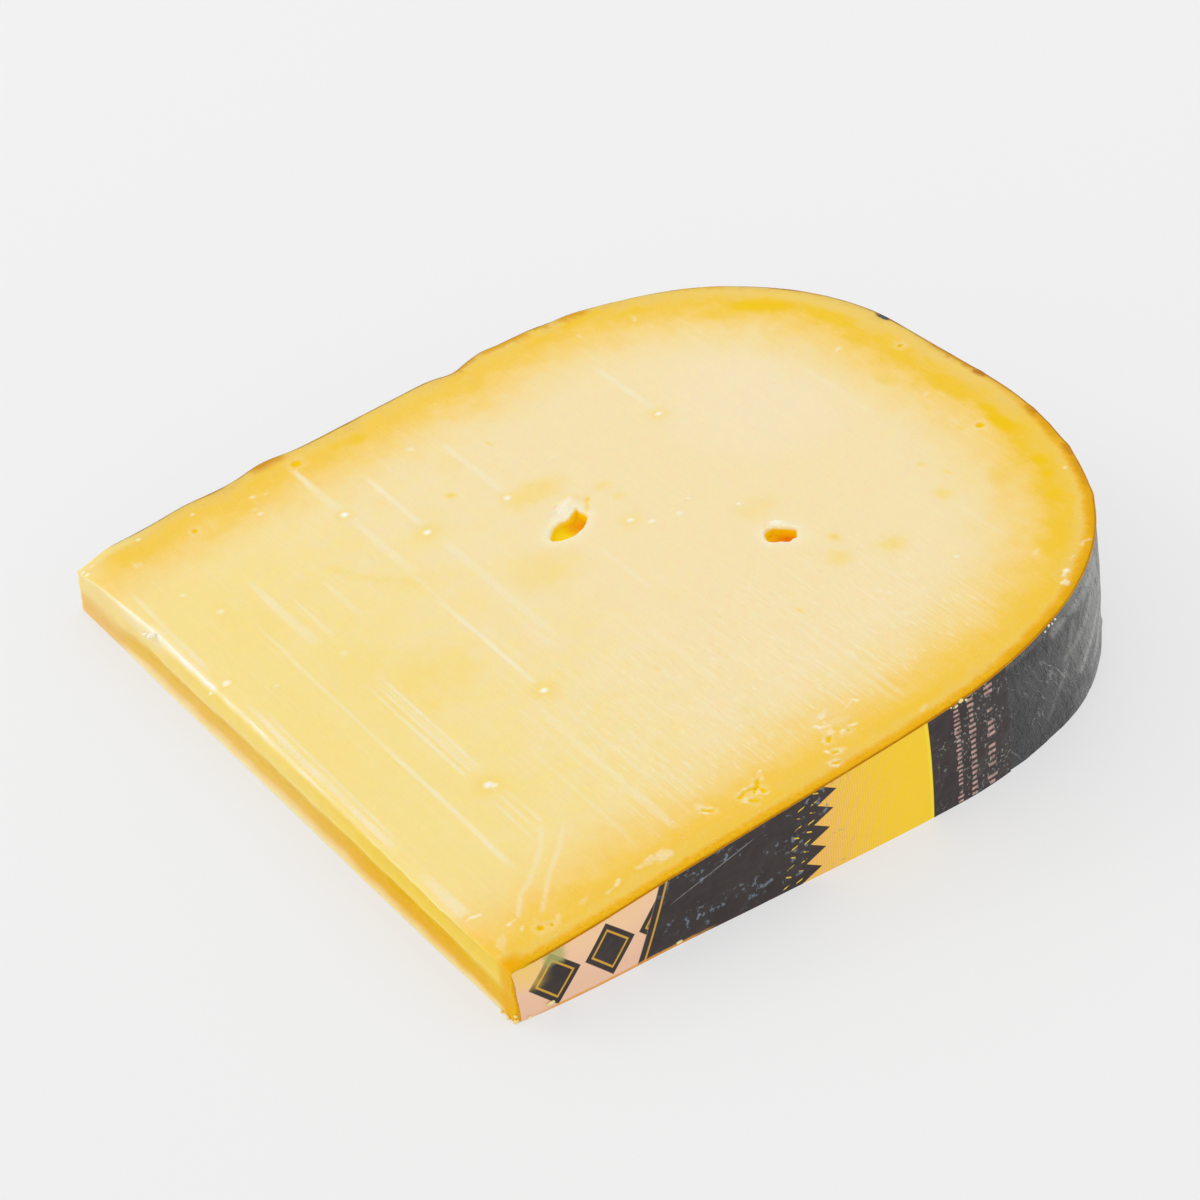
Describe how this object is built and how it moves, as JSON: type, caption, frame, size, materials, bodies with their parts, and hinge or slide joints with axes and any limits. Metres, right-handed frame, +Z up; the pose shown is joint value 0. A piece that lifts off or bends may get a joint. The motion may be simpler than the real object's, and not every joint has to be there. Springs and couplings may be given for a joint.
{
  "type": "cheese wedge",
  "caption": "Thin wedge cut from a wheel of aged, wax-coated cheese, D-shaped, squared off at the inner end, with a strip of the wheel's label on one flank.",
  "frame": {"origin": "bottom centre of the box around the slice, which lies on one of its two cut faces", "axes": "+X from the squared-off inner end to the rim, along the lower cut; +Y along the wheel's axis, away from the labelled flank; +Z up"},
  "size_m": [0.1127, 0.111, 0.0211],
  "materials": {
    "cheese": "satin",
    "label": "satin"
  },
  "bodies": {
    "root": {"cheese": "cheese", "label": "label"}
  },
  "joints": []
}
